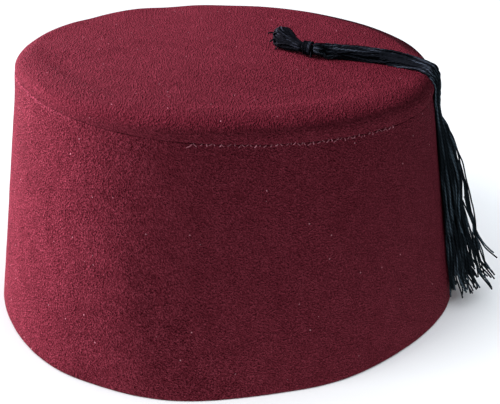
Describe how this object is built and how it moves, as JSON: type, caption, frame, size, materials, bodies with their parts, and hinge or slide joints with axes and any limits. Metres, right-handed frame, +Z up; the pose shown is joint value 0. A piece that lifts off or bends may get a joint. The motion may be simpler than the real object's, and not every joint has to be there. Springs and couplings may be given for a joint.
{
  "type": "fez hat",
  "caption": "Short brimless felt hat, a hollow cone cut off by a flat sewn-on top, with a thread tassel that hangs from the top over its edge.",
  "frame": {"origin": "under the middle of the whole hat, tassel included, on the surface that its rim stands on", "axes": "+Z up through the crown; -Y towards the front, from where the picture was taken; +X towards the side that the tassel hangs on"},
  "size_m": [0.2014, 0.1893, 0.1061],
  "materials": {
    "wine_red_felt": "matt brushed felt",
    "black_thread": "lustrous rayon thread"
  },
  "bodies": {
    "root": {"side_wall": "wine_red_felt", "top_panel": "wine_red_felt", "tassel": "black_thread", "neck_binding": "black_thread"}
  },
  "joints": []
}
